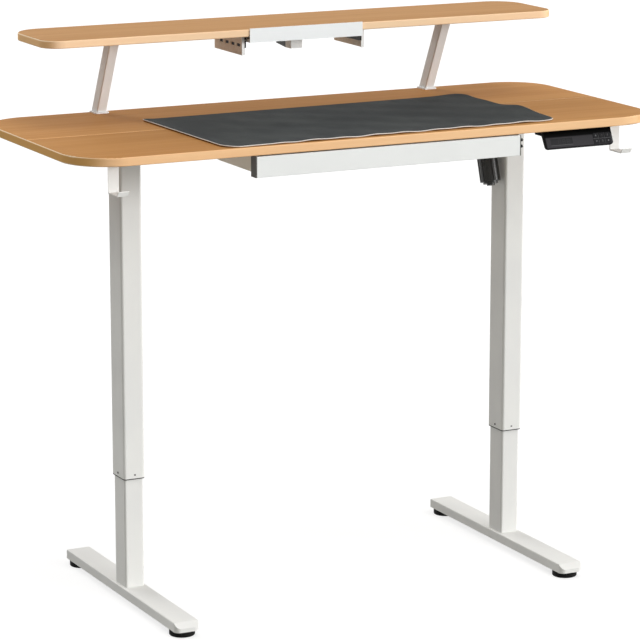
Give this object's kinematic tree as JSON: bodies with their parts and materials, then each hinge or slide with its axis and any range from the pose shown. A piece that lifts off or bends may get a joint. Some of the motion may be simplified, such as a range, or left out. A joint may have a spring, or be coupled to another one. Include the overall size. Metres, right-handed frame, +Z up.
{
  "type": "height-adjustable desk",
  "caption": "Electric sit-stand desk on two lifting columns, with a long raised shelf, shallow drawers, side hooks, a control handset and a soft desk mat.",
  "frame": {"origin": "on the floor, under the middle of the desktop", "axes": "+Z up; +X along the desktop to the right of the person sitting at it; +Y away from that person, towards the shelf"},
  "size_m": [1.4, 0.628, 1.2415],
  "materials": {
    "wood": "oak-pattern laminate, satin",
    "white_steel": "white powder coat, fine satin",
    "white_profile": "white coated aluminium, satin",
    "dark_cap": "dark grey moulded, matt",
    "black_plastic": "black moulded, fine texture",
    "key_plastic": "dark grey keys, satin",
    "window": "black glossy display window",
    "pad_rubber": "black rubber-like, matt",
    "white_plastic": "white moulded, satin",
    "glide_plastic": "dark low-friction plastic",
    "mat_fabric": "dark grey felt-like mat, matt",
    "zinc": "bright zinc plated",
    "gear_steel": "machined steel",
    "casting": "die cast, unfinished",
    "nut_brass": "machined",
    "slide_steel": "black coated steel"
  },
  "bodies": {
    "left_leg": {"left_foot_beam": "white_steel", "left_foot_bolts": "zinc", "left_lower_tube": "white_steel", "left_lift_nut": "nut_brass", "left_upper_glide": "glide_plastic"},
    "right_leg": {"right_foot_beam": "white_steel", "right_foot_bolts": "zinc", "right_lower_tube": "white_steel", "right_lift_nut": "nut_brass", "right_upper_glide": "glide_plastic"},
    "left_screw": {"left_lead_screw": "gear_steel", "left_screw_gear": "gear_steel"},
    "right_screw": {"right_lead_screw": "gear_steel", "right_screw_gear": "gear_steel"},
    "drive": {"drive_rod": "gear_steel", "rod_gears": "gear_steel", "worm_wheel": "nut_brass"},
    "worm": {"motor_worm": "gear_steel"},
    "drawer": {"drawer_front": "white_profile", "drawer_end_caps": "dark_cap", "drawer_tray": "white_steel"},
    "tray": {"tray_panel": "white_steel", "shelf_tray": "white_steel", "tray_pull": "white_plastic"},
    "left_front_pad": {"left_front_pad": "pad_rubber"},
    "left_rear_pad": {"left_rear_pad": "pad_rubber"},
    "right_front_pad": {"right_front_pad": "pad_rubber"},
    "right_rear_pad": {"right_rear_pad": "pad_rubber"},
    "key_up": {"key_up": "key_plastic"},
    "key_one": {"key_one": "key_plastic"},
    "key_two": {"key_two": "key_plastic"},
    "key_down": {"key_down": "key_plastic"},
    "key_three": {"key_three": "key_plastic"},
    "key_memory": {"key_memory": "key_plastic"},
    "top": {"front_board": "wood", "rear_board": "wood", "shelf_board": "wood", "left_upper_tube": "white_steel", "right_upper_tube": "white_steel", "side_brackets": "white_steel", "cross_rails": "white_steel", "hooks": "white_steel", "shelf_posts": "white_steel", "drawer_runners": "white_steel", "tray_hangers": "white_steel", "motor_gear_case": "black_plastic", "motor_cover": "black_plastic", "control_box": "black_plastic", "handset_case": "black_plastic", "handset_window": "window", "lower_glides": "glide_plastic", "runner_glides": "glide_plastic", "desk_mat": "mat_fabric", "frame_bolts": "zinc", "wood_screws": "zinc", "glide_screws": "zinc", "joint_plates": "zinc", "motor_can": "gear_steel", "gear_castings": "casting", "tray_slides": "slide_steel"}
  },
  "joints": [
    {"name": "height", "type": "slide", "parent": "left_leg", "child": "top", "axis": [0, 0, 1], "range_m": [-0.24, 0.19]},
    {"name": "right_column", "type": "slide", "parent": "top", "child": "right_leg", "axis": [0, 0, 1], "range_m": [-0.19, 0.24]},
    {"name": "left_screw_turn", "type": "hinge", "parent": "top", "child": "left_screw", "pos_m": [-0.476, 0, 0.7], "axis": [0, 0, 1], "range_deg": [-10801, 8551]},
    {"name": "right_screw_turn", "type": "hinge", "parent": "top", "child": "right_screw", "pos_m": [0.476, 0, 0.7], "axis": [0, 0, 1], "range_deg": [-8551, 10801]},
    {"name": "rod_turn", "type": "hinge", "parent": "top", "child": "drive", "pos_m": [0, 0, 0.982], "axis": [1, 0, 0], "range_deg": [-10801, 8551]},
    {"name": "worm_turn", "type": "hinge", "parent": "top", "child": "worm", "pos_m": [0.422, 0.01902, 0.97582], "axis": [0, -0.309, -0.9511], "range_deg": [-129612, 102612]},
    {"name": "drawer_slide", "type": "slide", "parent": "top", "child": "drawer", "axis": [0, -1, 0], "range_m": [0, 0.15]},
    {"name": "tray_slide", "type": "slide", "parent": "top", "child": "tray", "axis": [0, -1, 0], "range_m": [0, 0.1]},
    {"name": "key_up_press", "type": "slide", "parent": "top", "child": "key_up", "axis": [0, 0.9063, -0.4226], "range_m": [0, 0.0007], "stiffness_N_per_m": 1500, "springref_m": -0.0005},
    {"name": "key_one_press", "type": "slide", "parent": "top", "child": "key_one", "axis": [0, 0.9063, -0.4226], "range_m": [0, 0.0007], "stiffness_N_per_m": 1500, "springref_m": -0.0005},
    {"name": "key_two_press", "type": "slide", "parent": "top", "child": "key_two", "axis": [0, 0.9063, -0.4226], "range_m": [0, 0.0007], "stiffness_N_per_m": 1500, "springref_m": -0.0005},
    {"name": "key_down_press", "type": "slide", "parent": "top", "child": "key_down", "axis": [0, 0.9063, -0.4226], "range_m": [0, 0.0007], "stiffness_N_per_m": 1500, "springref_m": -0.0005},
    {"name": "key_three_press", "type": "slide", "parent": "top", "child": "key_three", "axis": [0, 0.9063, -0.4226], "range_m": [0, 0.0007], "stiffness_N_per_m": 1500, "springref_m": -0.0005},
    {"name": "key_memory_press", "type": "slide", "parent": "top", "child": "key_memory", "axis": [0, 0.9063, -0.4226], "range_m": [0, 0.0007], "stiffness_N_per_m": 1500, "springref_m": -0.0005},
    {"name": "left_front_level", "type": "slide", "parent": "left_leg", "child": "left_front_pad", "axis": [0, 0, -1], "range_m": [0, 0.01]},
    {"name": "left_rear_level", "type": "slide", "parent": "left_leg", "child": "left_rear_pad", "axis": [0, 0, -1], "range_m": [0, 0.01]},
    {"name": "right_front_level", "type": "slide", "parent": "right_leg", "child": "right_front_pad", "axis": [0, 0, -1], "range_m": [0, 0.01]},
    {"name": "right_rear_level", "type": "slide", "parent": "right_leg", "child": "right_rear_pad", "axis": [0, 0, -1], "range_m": [0, 0.01]}
  ],
  "couplings": [
    {"joint": "right_column", "follows": "height", "ratio": -1},
    {"joint": "left_screw_turn", "follows": "height", "rad_per_m": 785.4},
    {"joint": "right_screw_turn", "follows": "height", "rad_per_m": -785.4},
    {"joint": "rod_turn", "follows": "height", "rad_per_m": 785.4},
    {"joint": "worm_turn", "follows": "height", "rad_per_m": 9424.8}
  ]
}
